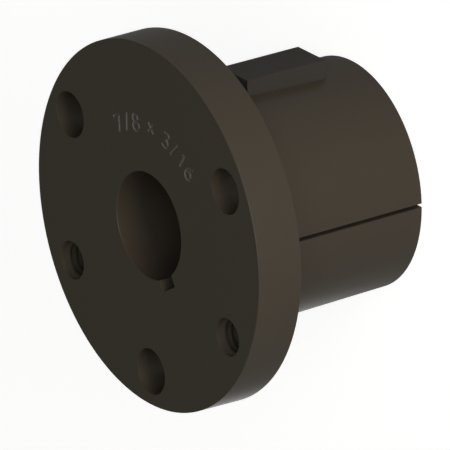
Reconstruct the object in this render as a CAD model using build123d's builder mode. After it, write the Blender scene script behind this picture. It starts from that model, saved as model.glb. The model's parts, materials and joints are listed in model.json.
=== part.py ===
"""Flanged taper bush with a double-split barrel and an external key.

The bush stands on the small end of its barrel with the flange on top. The origin is the centre of
the small end face, +Z runs along the bore towards the flange and +Y points at the external key.
Lengths are in millimetres; the inch size that a length comes from is noted beside it.
"""
import os
from math import cos, radians, sin

from build123d import *

os.makedirs("parts", exist_ok=True)

# Barrel
barrel_length = 39.4
barrel_large_diameter = 49.65  # at the flange
taper_on_diameter = 0.0625  # three quarters of an inch per foot
slit_width = 0.79375  # 1/32 in
slit_to_flange = 3.0  # barrel left whole between the slits and the flange

# Flange, laid out from the barrel outwards: wall, hole, wall
flange_thickness = 10.3
hole_to_barrel = 1.369  # puts the screw circle at 2 7/16 in
clearance_hole_diameter = 9.525  # 3/8 in
hole_to_rim = 2.381  # 3/32 in, puts the rim at 3 in
tapped_hole_diameter = 7.9375  # 5/16 in, the nominal size of a 5/16-18 thread
screw_spacing = 120  # degrees between like holes

# Bore and its keyway
bore_diameter = 22.225  # 7/8 in
keyway_width = 4.7625  # 3/16 in
keyway_depth = 2.261  # at its middle, so that bore and keyway measure 0.964 in across
keyway_angle = -60  # degrees from +X, seen from the flange

# External key, a flat bar with half its height below the barrel's surface
key_angle = 90  # degrees from +X
key_width = 9.525  # 3/8 in
key_height = 6.35  # 1/4 in
key_length = 19.05  # 3/4 in
key_to_flange = 10.75  # bare barrel between the flange and the key
key_side_clearance = 0.02
key_end_clearance = 0.02

# Broken edges
turned_edge_break = 0.1
key_edge_break = 0.15

# Places that follow from the sizes above
bore_radius = bore_diameter / 2
overall_length = barrel_length + flange_thickness
barrel_large_radius = barrel_large_diameter / 2
barrel_small_radius = barrel_large_radius - barrel_length * taper_on_diameter / 2
screw_circle_radius = barrel_large_radius + hole_to_barrel + clearance_hole_diameter / 2
flange_radius = screw_circle_radius + clearance_hole_diameter / 2 + hole_to_rim
keyway_floor = bore_radius + keyway_depth

key_top_z = barrel_length - key_to_flange
key_bottom_z = key_top_z - key_length
key_middle_z = (key_top_z + key_bottom_z) / 2
barrel_radius_at_key = barrel_large_radius - (barrel_length - key_middle_z) * taper_on_diameter / 2
key_floor = barrel_radius_at_key - key_height / 2

# One clearance hole lies opposite the key and one either side of it. The tapped holes lie between
# them, save over the key itself, where the flange is left whole.
clearance_hole_start = key_angle + screw_spacing / 2
tapped_hole_start = key_angle + screw_spacing

# The key's section lies across the barrel, with local Y pointing out through the key.
key_direction = Vector(cos(radians(key_angle)), sin(radians(key_angle)), 0)
key_plane = Plane(
    origin=(0, 0, key_bottom_z),
    x_dir=key_direction.rotate(Axis.Z, -90),
    z_dir=(0, 0, 1),
)
key_axis = Axis((0, 0, 0), key_direction)


with BuildPart() as taper_bush:
    # Turned form: the section from the bore out, spun about the bore's axis.
    with BuildSketch(Plane.XZ):
        with BuildLine():
            Polyline(
                (bore_radius, 0),
                (barrel_small_radius, 0),
                (barrel_large_radius, barrel_length),
                (flange_radius, barrel_length),
                (flange_radius, overall_length),
                (bore_radius, overall_length),
                close=True,
            )
        make_face()
    revolve(axis=Axis.Z)

    # Every turned edge is broken but the inner corner between barrel and flange.
    turned_edges = taper_bush.edges().filter_by(GeomType.CIRCLE)
    inner_corner = (
        turned_edges.filter_by_position(Axis.Z, barrel_length, barrel_length)
        .sort_by(SortBy.RADIUS)[:1]
    )
    chamfer(turned_edges - inner_corner, length=turned_edge_break)

    # Keyway broached along the whole bore.
    with BuildSketch(Plane.XY.rotated((0, 0, keyway_angle))):
        with Locations((keyway_floor, 0)):
            Rectangle(bore_radius, keyway_width, align=(Align.MAX, Align.CENTER))
    extrude(amount=overall_length, mode=Mode.SUBTRACT)

    # Two saw cuts, a quarter turn either side of the key, that stop just short of the flange.
    with BuildSketch(Plane.XY.rotated((0, 0, key_angle))):
        Rectangle(slit_width, barrel_large_diameter)
    extrude(amount=barrel_length - slit_to_flange, mode=Mode.SUBTRACT)

    # Screw holes through the flange.
    with Locations(Plane.XY.offset(overall_length)):
        with PolarLocations(screw_circle_radius, 3, start_angle=clearance_hole_start):
            Hole(clearance_hole_diameter / 2, depth=flange_thickness)
        with PolarLocations(
            screw_circle_radius,
            2,
            start_angle=tapped_hole_start,
            angular_range=screw_spacing,
            endpoint=True,
        ):
            Hole(tapped_hole_diameter / 2, depth=flange_thickness)

    # Seat milled in the barrel for the external key.
    with BuildSketch(key_plane.offset(-key_end_clearance)):
        with Locations((0, key_floor)):
            Rectangle(
                key_width + 2 * key_side_clearance,
                key_height,
                align=(Align.CENTER, Align.MIN),
            )
    extrude(amount=key_length + 2 * key_end_clearance, mode=Mode.SUBTRACT)


with BuildPart() as external_key:
    # Bar key, face to face with the floor of its seat, its outer edges broken.
    with BuildSketch(key_plane):
        with Locations((0, key_floor)):
            Rectangle(key_width, key_height, align=(Align.CENTER, Align.MIN))
    extrude(amount=key_length)
    outer_face = external_key.faces().sort_by(key_axis)[-1]
    chamfer(outer_face.edges(), length=key_edge_break)


taper_bush.part.label = "taper_bush"
external_key.part.label = "external_key"
export_step(taper_bush.part, "parts/taper_bush.step")
export_step(external_key.part, "parts/external_key.step")
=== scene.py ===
"""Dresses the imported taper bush: its phosphated iron, the key's black oxide, the size mark cut in
the flange's face and the threads of the jacking holes, on a pale studio floor.

Lengths are in metres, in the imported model's own frame: the bush stands on the small end of its
barrel, +Z runs up the bore to the flange's front face and +Y points at the external key.
"""

import json
from math import cos, pi, radians, sin, tau

import bmesh
import bpy
from bpy.props import (
    FloatProperty, FloatVectorProperty, IntProperty, PointerProperty, StringProperty)
from mathutils import Matrix, Vector


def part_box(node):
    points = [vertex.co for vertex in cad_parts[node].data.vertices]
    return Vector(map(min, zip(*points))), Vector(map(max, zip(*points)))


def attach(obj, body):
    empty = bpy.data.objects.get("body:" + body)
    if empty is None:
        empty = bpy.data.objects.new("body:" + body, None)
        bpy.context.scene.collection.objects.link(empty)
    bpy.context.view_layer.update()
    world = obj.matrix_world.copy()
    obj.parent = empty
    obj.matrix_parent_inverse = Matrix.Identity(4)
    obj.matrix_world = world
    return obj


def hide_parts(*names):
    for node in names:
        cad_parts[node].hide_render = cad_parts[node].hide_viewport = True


bl_info = {
    "name": "Taper Bush",
    "version": (1, 0, 0),
    "blender": (4, 5, 0),
    "location": "3D Viewport > Sidebar > Bush",
    "description": "Finishes the packed taper bush and sets it on a studio floor",
    "category": "Object",
}

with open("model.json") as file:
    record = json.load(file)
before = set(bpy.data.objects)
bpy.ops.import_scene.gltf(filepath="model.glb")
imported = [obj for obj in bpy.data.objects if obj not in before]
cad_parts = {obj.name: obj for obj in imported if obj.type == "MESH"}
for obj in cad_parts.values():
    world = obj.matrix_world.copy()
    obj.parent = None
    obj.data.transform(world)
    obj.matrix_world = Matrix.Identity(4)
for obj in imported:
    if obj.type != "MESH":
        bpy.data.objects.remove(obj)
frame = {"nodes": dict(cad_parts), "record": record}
bpy.context.view_layer.update()

MM = 0.001
MOUNTS = {mount["name"]: mount for mount in frame["record"]["mounts"]}

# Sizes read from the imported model
BUSH_TOP_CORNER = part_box("taper_bush")[1]
FRONT_Z = BUSH_TOP_CORNER.z
FLANGE_RADIUS = BUSH_TOP_CORNER.x
BARREL_LENGTH = MOUNTS["taper_barrel"]["dims"]["length_mm"] * MM
JACK_HOLES = [mount for name, mount in MOUNTS.items() if name.startswith("jack_screw_hole")]

# The picture: where the flange's front face lies in it, and how it is turned
PICTURE_PX = 450
FRONT_CENTRE_PX = (148.76, 225.82)
FLANGE_RADIUS_PX = 192.02
VIEW_AZIMUTH = radians(115.02)
VIEW_ELEVATION = radians(32.11)
VIEW_ROLL = radians(104.88)
CAMERA_DISTANCE = 1.0

# Keeps the floor clear of the barrel's end face, so that the two don't flicker through each other
FLOOR_GAP = 0.01 * MM

# Painted reflection: an oval glowing on the floor behind the bush, seen by reflections alone
OVAL_MIDDLE = (-75 * MM, -65 * MM, 0)
OVAL_HALVES = (110 * MM, 70 * MM, 1)
OVAL_TURN = radians(210)
OVAL_STRENGTH = 1.61
OVAL_COLOUR = "#FFFCFB"

# Mesh edges that fold more than this stay sharp
SMOOTH_ANGLE = radians(25)
WELD_DISTANCE = 1e-6

# Engraving: the turn from one point of a round stroke to the next, in degrees, and how far the
# cutter stands above the face
ARC_STEP = 24
CUTTER_ABOVE = 0.1 * MM

# An inch thread's ridge, as shares of its pitch, and how deep its foot lies in the hole's wall
THREAD_HEIGHT = 0.541
THREAD_FOOT_HALF = 0.4375
THREAD_CREST_HALF = 0.125
THREAD_ROOTING = 0.03 * MM

# A thread starts at this share of its height and is full after this share of a turn
THREAD_START = 0.05
THREAD_RUN_OUT = 1 / 3


def linear(code):
    """Turns an sRGB hex colour, such as #4B433A, to linear values."""
    channels = [int(code[i:i + 2], 16) / 255 for i in (1, 3, 5)]
    return [c / 12.92 if c <= 0.04045 else ((c + 0.055) / 1.055) ** 2.4 for c in channels]


class BushMarkSettings(bpy.types.PropertyGroup):
    """The size figures engraved in the flange's front face."""

    text: StringProperty(
        name="Figures", description="Plain sizes of the bore and its keyway, in inches",
        default="7/8 x 3/16")
    height: FloatProperty(
        name="Height", description="Height of a figure", default=3.4 * MM, unit="LENGTH")
    width: FloatProperty(
        name="Width", description="Width of a figure", default=2.2 * MM, unit="LENGTH")
    stroke: FloatProperty(
        name="Stroke", description="Width of the groove at the face", default=0.65 * MM,
        unit="LENGTH")
    depth: FloatProperty(
        name="Depth", description="Depth of the groove, which is V-shaped",
        default=0.3 * MM, unit="LENGTH")
    radius: FloatProperty(
        name="Radius", description="From the bore's axis to the middle of the figures",
        default=21.2 * MM, unit="LENGTH")
    angle: FloatProperty(
        name="Angle", description="Middle of the mark, from +X, seen from the front",
        default=radians(82.5), subtype="ANGLE")
    spacing: FloatProperty(
        name="Spacing", description="Angle from one figure of full width to the next",
        default=radians(9.4), subtype="ANGLE")


class BushThreadSettings(bpy.types.PropertyGroup):
    """The 5/16-18 thread in the jacking holes."""

    pitch: FloatProperty(
        name="Pitch", description="Rise of one turn, 18 turns to the inch",
        default=25.4 / 18 * MM, unit="LENGTH", precision=5)
    lead_in: FloatProperty(
        name="Lead-in", description="Plain wall left at each face of the flange",
        default=0.25 * MM, unit="LENGTH")
    steps: IntProperty(
        name="Steps", description="Mesh steps in one turn", default=64, min=12)


class BushFinishSettings(bpy.types.PropertyGroup):
    """Colours and tool marks of the finishes."""

    iron: FloatVectorProperty(
        name="Phosphated iron", description="Colour of the oiled phosphate coat on the iron",
        default=linear("#4B433A"), subtype="COLOR", min=0, max=1)
    key: FloatVectorProperty(
        name="Black oxide", description="Colour of the black oxide on the steel key",
        default=linear("#3E3936"), subtype="COLOR", min=0, max=1)
    bare: FloatVectorProperty(
        name="Bare iron", description="Colour of the dulled iron in the engraved figures",
        default=linear("#6F6967"), subtype="COLOR", min=0, max=1)
    lay: FloatProperty(
        name="Tool lay", description="Spacing of the turned grooves, drawn coarse enough to show",
        default=0.6 * MM, unit="LENGTH", precision=5)


class BushStageSettings(bpy.types.PropertyGroup):
    """The studio's floor and the room round it."""

    floor: FloatVectorProperty(
        name="Floor", description="Colour of the floor", default=linear("#E6E6E6"),
        subtype="COLOR", min=0, max=1)
    floor_size: FloatProperty(
        name="Floor size", description="Side of the square floor", default=4.0, unit="LENGTH")
    room_glow: FloatProperty(
        name="Room glow", description="Brightness of the room in reflections", default=0.07,
        min=0)
    glow: FloatProperty(
        name="Glow", description="Brightness that the camera adds to the floor", default=1.65,
        min=0)
    glow_share: FloatProperty(
        name="Glow share", description="Share of that glow in what the camera sees of the floor",
        default=0.55, subtype="FACTOR", min=0, max=1)


def add_node(tree, kind, inputs=None, links=None, **settings):
    """Adds one node: inputs gives socket values, links the outputs that feed its sockets."""
    node = tree.nodes.new(kind)
    for name, value in settings.items():
        setattr(node, name, value)
    for socket, value in (inputs or {}).items():
        node.inputs[socket].default_value = value
    for socket, source in (links or {}).items():
        tree.links.new(source, node.inputs[socket])
    return node


def new_material(name):
    """An empty node material and its tree, or the one made before under that name."""
    material = bpy.data.materials.get(name) or bpy.data.materials.new(name)
    material.use_nodes = True
    material.node_tree.nodes.clear()
    return material, material.node_tree


def colour_over(tree, base, low, high, mask):
    """Varies a base colour between two brightness factors by a mask from 0 to 1."""
    factor = add_node(
        tree, "ShaderNodeMapRange", {"To Min": low, "To Max": high}, {"Value": mask})
    return add_node(
        tree, "ShaderNodeVectorMath", {0: base}, {"Scale": factor.outputs[0]}, operation="SCALE")


def phosphated_iron(finish):
    """Turned grey iron under an oiled manganese phosphate coat.

    Gives the eye a dark, faintly warm brown-grey with a soft sheen and barely visible rings.
    """
    material, tree = new_material("phosphated_iron")
    place = add_node(tree, "ShaderNodeTexCoord").outputs["Object"]

    # Crystals of the coat, in patches a few millimetres across
    patches = add_node(
        tree, "ShaderNodeTexNoise", {"Scale": 1 / (6 * MM), "Detail": 3.0, "Roughness": 0.55},
        {"Vector": place})
    colour = colour_over(tree, finish.iron, 0.97, 1.03, patches.outputs["Fac"])

    # Rings left by the turning tool: about the axis on flat faces, round the wall elsewhere
    axes = add_node(tree, "ShaderNodeSeparateXYZ", links={"Vector": place})
    flat = add_node(
        tree, "ShaderNodeCombineXYZ",
        links={"X": axes.outputs["X"], "Y": axes.outputs["Y"]})
    radius = add_node(
        tree, "ShaderNodeVectorMath", links={0: flat.outputs[0]}, operation="LENGTH")
    normal = add_node(
        tree, "ShaderNodeSeparateXYZ",
        links={"Vector": add_node(tree, "ShaderNodeNewGeometry").outputs["True Normal"]})
    facing_up = add_node(
        tree, "ShaderNodeMath", {1: 0.0}, {0: normal.outputs["Z"]}, operation="ABSOLUTE")
    on_face = add_node(
        tree, "ShaderNodeMath", {1: 0.7}, {0: facing_up.outputs[0]}, operation="GREATER_THAN")
    across = add_node(
        tree, "ShaderNodeMix", links={
            0: on_face.outputs[0], 2: axes.outputs["Z"], 3: radius.outputs["Value"]})
    turns = add_node(
        tree, "ShaderNodeMath", {1: tau / finish.lay}, {0: across.outputs[0]},
        operation="MULTIPLY")
    rings = add_node(tree, "ShaderNodeMath", links={0: turns.outputs[0]}, operation="SINE")

    # Grit of the coat, drawn coarser than the real crystals so that it shows
    grit = add_node(
        tree, "ShaderNodeTexNoise", {"Scale": 1 / (0.5 * MM), "Detail": 2.0},
        {"Vector": place})
    ring_bump = add_node(
        tree, "ShaderNodeBump", {"Strength": 0.05, "Distance": 0.02 * MM},
        {"Height": rings.outputs[0]})
    grit_bump = add_node(
        tree, "ShaderNodeBump", {"Strength": 0.10, "Distance": 0.03 * MM},
        {"Height": grit.outputs["Fac"], "Normal": ring_bump.outputs[0]})

    shader = add_node(
        tree, "ShaderNodeBsdfPrincipled", {"Roughness": 0.32, "IOR": 1.5},
        {"Base Color": colour.outputs[0], "Normal": grit_bump.outputs[0]})
    add_node(tree, "ShaderNodeOutputMaterial", links={"Surface": shader.outputs[0]})
    return material


def engraved_iron(finish):
    """Iron laid bare where the figures are cut through the coat, with a film of oxide by now.

    Gives the eye matt strokes, paler than the face round them and a little blotched.
    """
    material, tree = new_material("engraved_iron")
    place = add_node(tree, "ShaderNodeTexCoord").outputs["Object"]
    film = add_node(
        tree, "ShaderNodeTexNoise", {"Scale": 1 / (0.8 * MM), "Detail": 2.0}, {"Vector": place})
    colour = colour_over(tree, finish.bare, 0.85, 1.15, film.outputs["Fac"])
    shader = add_node(
        tree, "ShaderNodeBsdfPrincipled", {"Roughness": 0.6, "IOR": 1.5},
        {"Base Color": colour.outputs[0]})
    add_node(tree, "ShaderNodeOutputMaterial", links={"Surface": shader.outputs[0]})
    return material


def black_oxide_steel(finish):
    """Drawn key steel under black oxide.

    Gives the eye a near-black grey, duller than the iron, with faint lines along the bar.
    """
    material, tree = new_material("black_oxide_steel")
    place = add_node(tree, "ShaderNodeTexCoord").outputs["Object"]
    stretched = add_node(
        tree, "ShaderNodeMapping", {"Scale": (1.0, 1.0, 0.03)}, {"Vector": place})
    lines = add_node(
        tree, "ShaderNodeTexNoise", {"Scale": 1 / (0.4 * MM), "Detail": 2.0},
        {"Vector": stretched.outputs[0]})
    colour = colour_over(tree, finish.key, 0.96, 1.04, lines.outputs["Fac"])
    bump = add_node(
        tree, "ShaderNodeBump", {"Strength": 0.08, "Distance": 0.02 * MM},
        {"Height": lines.outputs["Fac"]})
    shader = add_node(
        tree, "ShaderNodeBsdfPrincipled", {"Roughness": 0.5, "IOR": 1.5},
        {"Base Color": colour.outputs[0], "Normal": bump.outputs[0]})
    add_node(tree, "ShaderNodeOutputMaterial", links={"Surface": shader.outputs[0]})
    return material


def studio_floor(stage):
    """Matt pale board. The eye sees it white, with the bush's soft shadow left on it.

    Reflections alone also see a glowing oval on it, a painted reflection with no lamp behind it.
    It paints the pale sheen on the lower edges of rim and barrel.
    """
    material, tree = new_material("studio_floor")
    path = add_node(tree, "ShaderNodeLightPath")
    board = add_node(tree, "ShaderNodeBsdfDiffuse", {"Color": (*stage.floor, 1.0)})
    white = add_node(tree, "ShaderNodeEmission", {"Strength": stage.glow})
    seen = add_node(
        tree, "ShaderNodeMath", links={
            0: path.outputs["Is Camera Ray"], 1: path.outputs["Is Transmission Ray"]},
        operation="MAXIMUM")
    share = add_node(
        tree, "ShaderNodeMath", {1: stage.glow_share}, {0: seen.outputs[0]},
        operation="MULTIPLY")
    pale = add_node(
        tree, "ShaderNodeMixShader",
        links={0: share.outputs[0], 1: board.outputs[0], 2: white.outputs[0]})

    # Painted reflection, an oval that glows for glossy rays alone: 1 in its middle, 0 from its edge
    # on
    place = add_node(tree, "ShaderNodeTexCoord").outputs["Object"]
    oval = add_node(
        tree, "ShaderNodeMapping",
        {"Location": OVAL_MIDDLE, "Rotation": (0, 0, OVAL_TURN), "Scale": OVAL_HALVES},
        {"Vector": place}, vector_type="TEXTURE")
    reach = add_node(tree, "ShaderNodeVectorMath", links={0: oval.outputs[0]}, operation="LENGTH")
    fade = add_node(
        tree, "ShaderNodeMapRange", {"To Min": OVAL_STRENGTH, "To Max": 0.0},
        {"Value": reach.outputs["Value"]}, interpolation_type="SMOOTHSTEP")
    mirrored = add_node(
        tree, "ShaderNodeMath", links={0: fade.outputs[0], 1: path.outputs["Is Glossy Ray"]},
        operation="MULTIPLY")
    painted_glow = add_node(
        tree, "ShaderNodeEmission", {"Color": (*linear(OVAL_COLOUR), 1.0)},
        {"Strength": mirrored.outputs[0]})
    both = add_node(
        tree, "ShaderNodeAddShader", links={0: pale.outputs[0], 1: painted_glow.outputs[0]})
    add_node(tree, "ShaderNodeOutputMaterial", links={"Surface": both.outputs[0]})
    return material


def add_object(name, data):
    """A new object in the scene's own collection."""
    made = bpy.data.objects.new(name, data)
    bpy.context.scene.collection.objects.link(made)
    return made


def shade_by_angle(mesh):
    """Smooth faces, with the edges that fold past SMOOTH_ANGLE kept sharp."""
    work = bmesh.new()
    work.from_mesh(mesh)
    for face in work.faces:
        face.smooth = True
    for edge in work.edges:
        edge.smooth = edge.calc_face_angle(pi) < SMOOTH_ANGLE
    work.to_mesh(mesh)
    work.free()


def weld(mesh):
    """Joins the vertices that an export split along sharp edges."""
    for name in ("custom_normal", "sharp_edge", "sharp_face"):
        if name in mesh.attributes:
            mesh.attributes.remove(mesh.attributes[name])
    work = bmesh.new()
    work.from_mesh(mesh)
    bmesh.ops.remove_doubles(work, verts=work.verts, dist=WELD_DISTANCE)
    bmesh.ops.recalc_face_normals(work, faces=work.faces)
    work.to_mesh(mesh)
    work.free()


def arc(x, y, half_width, half_height, start, stop):
    """Points along part of an ellipse, between two angles in degrees."""
    steps = max(2, round(abs(stop - start) / ARC_STEP))
    angles = [radians(start + (stop - start) * i / steps) for i in range(steps + 1)]
    return [(x + half_width * cos(a), y + half_height * sin(a)) for a in angles]


# Strokes of the figures, for a height and a width of 1
FIGURES = {
    "1": [[(-0.2, 0.8), (0.1, 1.0), (0.1, 0.0)]],
    "3": [arc(0, 0.76, 0.42, 0.24, 150, -90), arc(0, 0.26, 0.48, 0.26, 90, -150)],
    "6": [arc(0, 0.28, 0.48, 0.28, 0, 360), arc(0.3, 0.28, 0.78, 0.72, 180, 100)],
    "7": [[(-0.5, 1.0), (0.5, 1.0), (-0.15, 0.0)]],
    "8": [arc(0, 0.76, 0.40, 0.24, 0, 360), arc(0, 0.26, 0.50, 0.26, 0, 360)],
    "/": [[(-0.3, -0.05), (0.3, 1.05)]],
    "x": [[(-0.4, 0.2), (0.4, 0.8)], [(-0.4, 0.8), (0.4, 0.2)]],
}

# Room along the arc for the narrower characters, as a share of a full figure's
NARROW = {"1": 0.85, "/": 0.85, " ": 0.5}


def add_groove(work, stroke, angle, mark):
    """Adds a V-shaped bar along one stroke of a figure that stands across the front face.

    The figure's foot points towards the bore, and the bar stands a little above the face.
    """
    half = mark.stroke / 2 * (1 + CUTTER_ABOVE / mark.depth)
    turn = Matrix.Rotation(angle - pi / 2, 4, "Z")
    foot = Matrix.Translation((0, mark.radius - mark.height / 2, FRONT_Z))
    points = [Vector((x * mark.width, y * mark.height)) for x, y in stroke]
    closed = (points[0] - points[-1]).length < WELD_DISTANCE
    if closed:
        points.pop()
    count = len(points)

    sections = []
    for i, point in enumerate(points):
        before = points[i - 1] if closed or i else None
        after = points[(i + 1) % count] if closed or i < count - 1 else None
        ways = [
            (far - near).normalized()
            for near, far in ((before, point), (point, after)) if near and far]
        along = sum(ways, Vector((0, 0))).normalized()
        aside = Vector((-along.y, along.x)) * (half / along.dot(ways[0]))
        corners = (
            (*(point + aside), CUTTER_ABOVE),
            (*point, -mark.depth),
            (*(point - aside), CUTTER_ABOVE),
        )
        sections.append([work.verts.new(turn @ foot @ Vector(corner)) for corner in corners])
    pairs = zip(sections, sections[1:] + sections[:1]) if closed else zip(sections, sections[1:])
    for near, far in pairs:
        for k in range(3):
            work.faces.new((near[k], near[(k + 1) % 3], far[(k + 1) % 3], far[k]))
    if not closed:
        work.faces.new(sections[0])
        work.faces.new(reversed(sections[-1]))


def engrave(body, mark, metal):
    """Cuts the mark's figures in the body, all at once, with metal showing in the grooves."""
    work = bmesh.new()
    rooms = [mark.spacing * NARROW.get(character, 1.0) for character in mark.text]
    start = mark.angle + sum(rooms) / 2
    for character, room in zip(mark.text, rooms):
        for stroke in FIGURES.get(character, []):
            add_groove(work, stroke, start - room / 2, mark)
        start -= room
    bmesh.ops.recalc_face_normals(work, faces=work.faces)
    mesh = bpy.data.meshes.new("grooves")
    work.to_mesh(mesh)
    work.free()
    mesh.materials.append(metal)
    grooves = add_object("grooves", mesh)

    modifier = body.modifiers.new("engrave", "BOOLEAN")
    modifier.operation = "DIFFERENCE"
    modifier.solver = "EXACT"
    modifier.use_self = True
    modifier.material_mode = "TRANSFER"
    modifier.object = grooves
    graph = bpy.context.evaluated_depsgraph_get()
    cut = bpy.data.meshes.new_from_object(body.evaluated_get(graph))
    body.modifiers.clear()
    bpy.data.objects.remove(grooves)
    if len(cut.polygons) <= len(body.data.polygons):
        raise RuntimeError("The figures didn't cut into the body")
    cut.name = body.data.name
    body.data = cut


class OBJECT_OT_bush_body(bpy.types.Operator):
    """Make the bush itself, with the sizes of bore and keyway cut in its front face"""

    bl_idname = "object.bush_body"
    bl_label = "Bush body"

    def execute(self, context):
        mark = context.scene.bush_mark
        finish = context.scene.bush_finish
        metal = engraved_iron(finish)
        mesh = frame["nodes"]["taper_bush"].data.copy()
        mesh.name = "bush_body"
        mesh.materials.clear()
        mesh.materials.append(phosphated_iron(finish))
        weld(mesh)
        body = add_object("bush_body", mesh)

        engrave(body, mark, metal)
        shade_by_angle(body.data)

        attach(body, "root")
        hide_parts("taper_bush")
        return {"FINISHED"}


def thread_mesh(name, hole, thread):
    """The ridge of an internal thread, wound right-handed up a plain hole's wall."""
    wall = hole["dims"]["r_mm"] * MM
    rooted = wall + THREAD_ROOTING
    ridge = THREAD_HEIGHT * thread.pitch
    foot_half = THREAD_FOOT_HALF * thread.pitch
    crest_half = THREAD_CREST_HALF * thread.pitch
    centre = Vector(hole["pos_m"])
    low = BARREL_LENGTH + thread.lead_in + foot_half
    high = FRONT_Z - thread.lead_in - foot_half
    count = int((high - low) / thread.pitch * thread.steps)
    run_out = int(THREAD_RUN_OUT * thread.steps)

    work = bmesh.new()
    sections = []
    for i in range(count + 1):
        grown = min(1.0, max(THREAD_START, min(i, count - i) / run_out))
        angle = tau * i / thread.steps
        z = low + thread.pitch * i / thread.steps
        profile = (
            (rooted, -foot_half * grown),
            (wall - ridge * grown, -crest_half * grown),
            (wall - ridge * grown, crest_half * grown),
            (rooted, foot_half * grown),
        )
        sections.append([
            work.verts.new((centre.x + r * cos(angle), centre.y + r * sin(angle), z + dz))
            for r, dz in profile
        ])
    for near, far in zip(sections, sections[1:]):
        for k in range(4):
            work.faces.new((near[k], near[(k + 1) % 4], far[(k + 1) % 4], far[k]))
    work.faces.new(sections[0])
    work.faces.new(reversed(sections[-1]))
    bmesh.ops.recalc_face_normals(work, faces=work.faces)
    mesh = bpy.data.meshes.new(name)
    work.to_mesh(mesh)
    work.free()
    return mesh


class OBJECT_OT_bush_threads(bpy.types.Operator):
    """Make the threads of the two jacking holes"""

    bl_idname = "object.bush_threads"
    bl_label = "Jacking threads"

    def execute(self, context):
        iron = bpy.data.materials.get("phosphated_iron")
        for hole in JACK_HOLES:
            name = hole["name"].replace("screw_hole", "thread")
            mesh = thread_mesh(name, hole, context.scene.bush_thread)
            shade_by_angle(mesh)
            mesh.materials.append(iron)
            ridge = add_object(name, mesh)
            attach(ridge, "root")
        return {"FINISHED"}


class OBJECT_OT_bush_key(bpy.types.Operator):
    """Finish the external key in black oxide"""

    bl_idname = "object.bush_key"
    bl_label = "External key"

    def execute(self, context):
        key = frame["nodes"]["external_key"]
        key.material_slots[0].material = black_oxide_steel(context.scene.bush_finish)
        return {"FINISHED"}


def direction(azimuth, elevation):
    """Unit vector from the bush towards a place round it, by the same angles as the views."""
    return Vector((
        sin(azimuth) * cos(elevation), -cos(azimuth) * cos(elevation), sin(elevation)))


def add_camera():
    """A parallel camera that sees the flange's front face where the picture has it."""
    back = direction(VIEW_AZIMUTH, VIEW_ELEVATION)
    level = Vector((cos(VIEW_AZIMUTH), sin(VIEW_AZIMUTH), 0))
    upright = back.cross(level)
    up = upright * cos(VIEW_ROLL) + level * sin(VIEW_ROLL)
    right = up.cross(back)

    metres_per_px = FLANGE_RADIUS / FLANGE_RADIUS_PX
    across = (PICTURE_PX / 2 - FRONT_CENTRE_PX[0]) * metres_per_px
    upward = (FRONT_CENTRE_PX[1] - PICTURE_PX / 2) * metres_per_px
    aim = Vector((0, 0, FRONT_Z)) + right * across + up * upward

    data = bpy.data.cameras.new("camera")
    data.type = "ORTHO"
    data.ortho_scale = PICTURE_PX * metres_per_px
    data.clip_start = 0.01
    data.clip_end = 2 * CAMERA_DISTANCE
    camera = add_object("camera", data)
    camera.matrix_world = Matrix.Translation(aim + back * CAMERA_DISTANCE) @ Matrix(
        (right, up, back)).transposed().to_4x4()
    bpy.context.scene.camera = camera


# Soft boxes: azimuth, elevation, distance, width, height, watts and colour
LAMPS = {
    "main_box": (120, 30, 1.2, 0.6, 0.6, 3.55, "#FCFFFF"),
    "front_strip": (110, 10.5, 1.1, 0.7, 0.35, 4.56, "#FFFAE9"),
    "high_box": (90, 55, 1.2, 0.6, 0.6, 1.39, "#FFFCF5"),
    "side_box": (30, 30, 1.2, 0.6, 0.6, 0.35, "#FFFFFF"),
    "back_box": (300, 35, 1.2, 0.6, 0.6, 0.13, "#FDFFCC"),
    "back_strip": (280, 10.5, 1.1, 0.7, 0.35, 0.23, "#FFFFFB"),
}


def add_lamp(name, azimuth, elevation, distance, width, height, watts, colour):
    """A soft box that faces the bush."""
    data = bpy.data.lights.new(name, "AREA")
    data.shape = "RECTANGLE"
    data.size = width
    data.size_y = height
    data.energy = watts
    data.color = linear(colour)
    lamp = add_object(name, data)
    towards = direction(radians(azimuth), radians(elevation))
    lamp.location = towards * distance
    lamp.rotation_mode = "QUATERNION"
    lamp.rotation_quaternion = towards.to_track_quat("Z", "Y")
    lamp.visible_camera = False


def light_the_room(glow):
    """A dim room that shows in reflections alone, and that the camera sees as plain white."""
    world = bpy.data.worlds.new("studio_room")
    bpy.context.scene.world = world
    world.use_nodes = True
    tree = world.node_tree
    tree.nodes.clear()
    path = add_node(tree, "ShaderNodeLightPath")
    strength = add_node(
        tree, "ShaderNodeMath", {1: glow},
        {0: path.outputs["Is Glossy Ray"], 2: path.outputs["Is Camera Ray"]},
        operation="MULTIPLY_ADD")
    white = add_node(
        tree, "ShaderNodeBackground", {"Color": (1.0, 1.0, 1.0, 1.0)},
        {"Strength": strength.outputs[0]})
    add_node(tree, "ShaderNodeOutputWorld", links={"Surface": white.outputs[0]})


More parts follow.
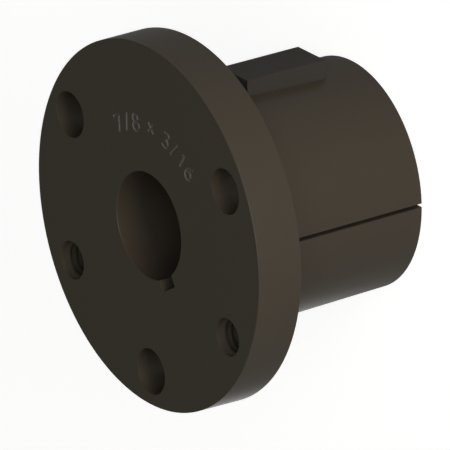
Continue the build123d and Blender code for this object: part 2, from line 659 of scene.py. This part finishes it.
class OBJECT_OT_bush_stage(bpy.types.Operator):
    """Set up the floor, the lamps, the room and the camera"""

    bl_idname = "object.bush_stage"
    bl_label = "Studio stage"

    def execute(self, context):
        stage = context.scene.bush_stage
        half = stage.floor_size / 2
        corners = ((-half, -half), (half, -half), (half, half), (-half, half))
        mesh = bpy.data.meshes.new("floor")
        mesh.from_pydata([(x, y, -FLOOR_GAP) for x, y in corners], [], [(0, 1, 2, 3)])
        mesh.materials.append(studio_floor(stage))
        floor = add_object("floor", mesh)
        for name, values in LAMPS.items():
            add_lamp(name, *values)
        light_the_room(stage.room_glow)
        add_camera()
        context.scene.view_settings.view_transform = "Standard"
        return {"FINISHED"}


class VIEW3D_PT_taper_bush(bpy.types.Panel):
    """Steps and sizes of the taper bush"""

    bl_label = "Taper bush"
    bl_idname = "VIEW3D_PT_taper_bush"
    bl_space_type = "VIEW_3D"
    bl_region_type = "UI"
    bl_category = "Bush"

    def draw(self, context):
        for operator in OPERATORS:
            self.layout.operator(operator.bl_idname)
        for name in SETTINGS:
            box = self.layout.box()
            group = getattr(context.scene, name)
            for setting in group.__annotations__:
                box.prop(group, setting)


OPERATORS = (OBJECT_OT_bush_body, OBJECT_OT_bush_threads, OBJECT_OT_bush_key, OBJECT_OT_bush_stage)
SETTINGS = {
    "bush_mark": BushMarkSettings,
    "bush_thread": BushThreadSettings,
    "bush_finish": BushFinishSettings,
    "bush_stage": BushStageSettings,
}


def register():
    for kind in (*SETTINGS.values(), *OPERATORS, VIEW3D_PT_taper_bush):
        bpy.utils.register_class(kind)
    for name, group in SETTINGS.items():
        setattr(bpy.types.Scene, name, PointerProperty(type=group))


def unregister():
    for name in SETTINGS:
        delattr(bpy.types.Scene, name)
    for kind in reversed((*SETTINGS.values(), *OPERATORS, VIEW3D_PT_taper_bush)):
        bpy.utils.unregister_class(kind)


def main():
    register()
    bpy.ops.object.bush_body()
    bpy.ops.object.bush_threads()
    bpy.ops.object.bush_key()
    bpy.ops.object.bush_stage()
    bpy.context.view_layer.update()


if __name__ == "__main__":
    main()
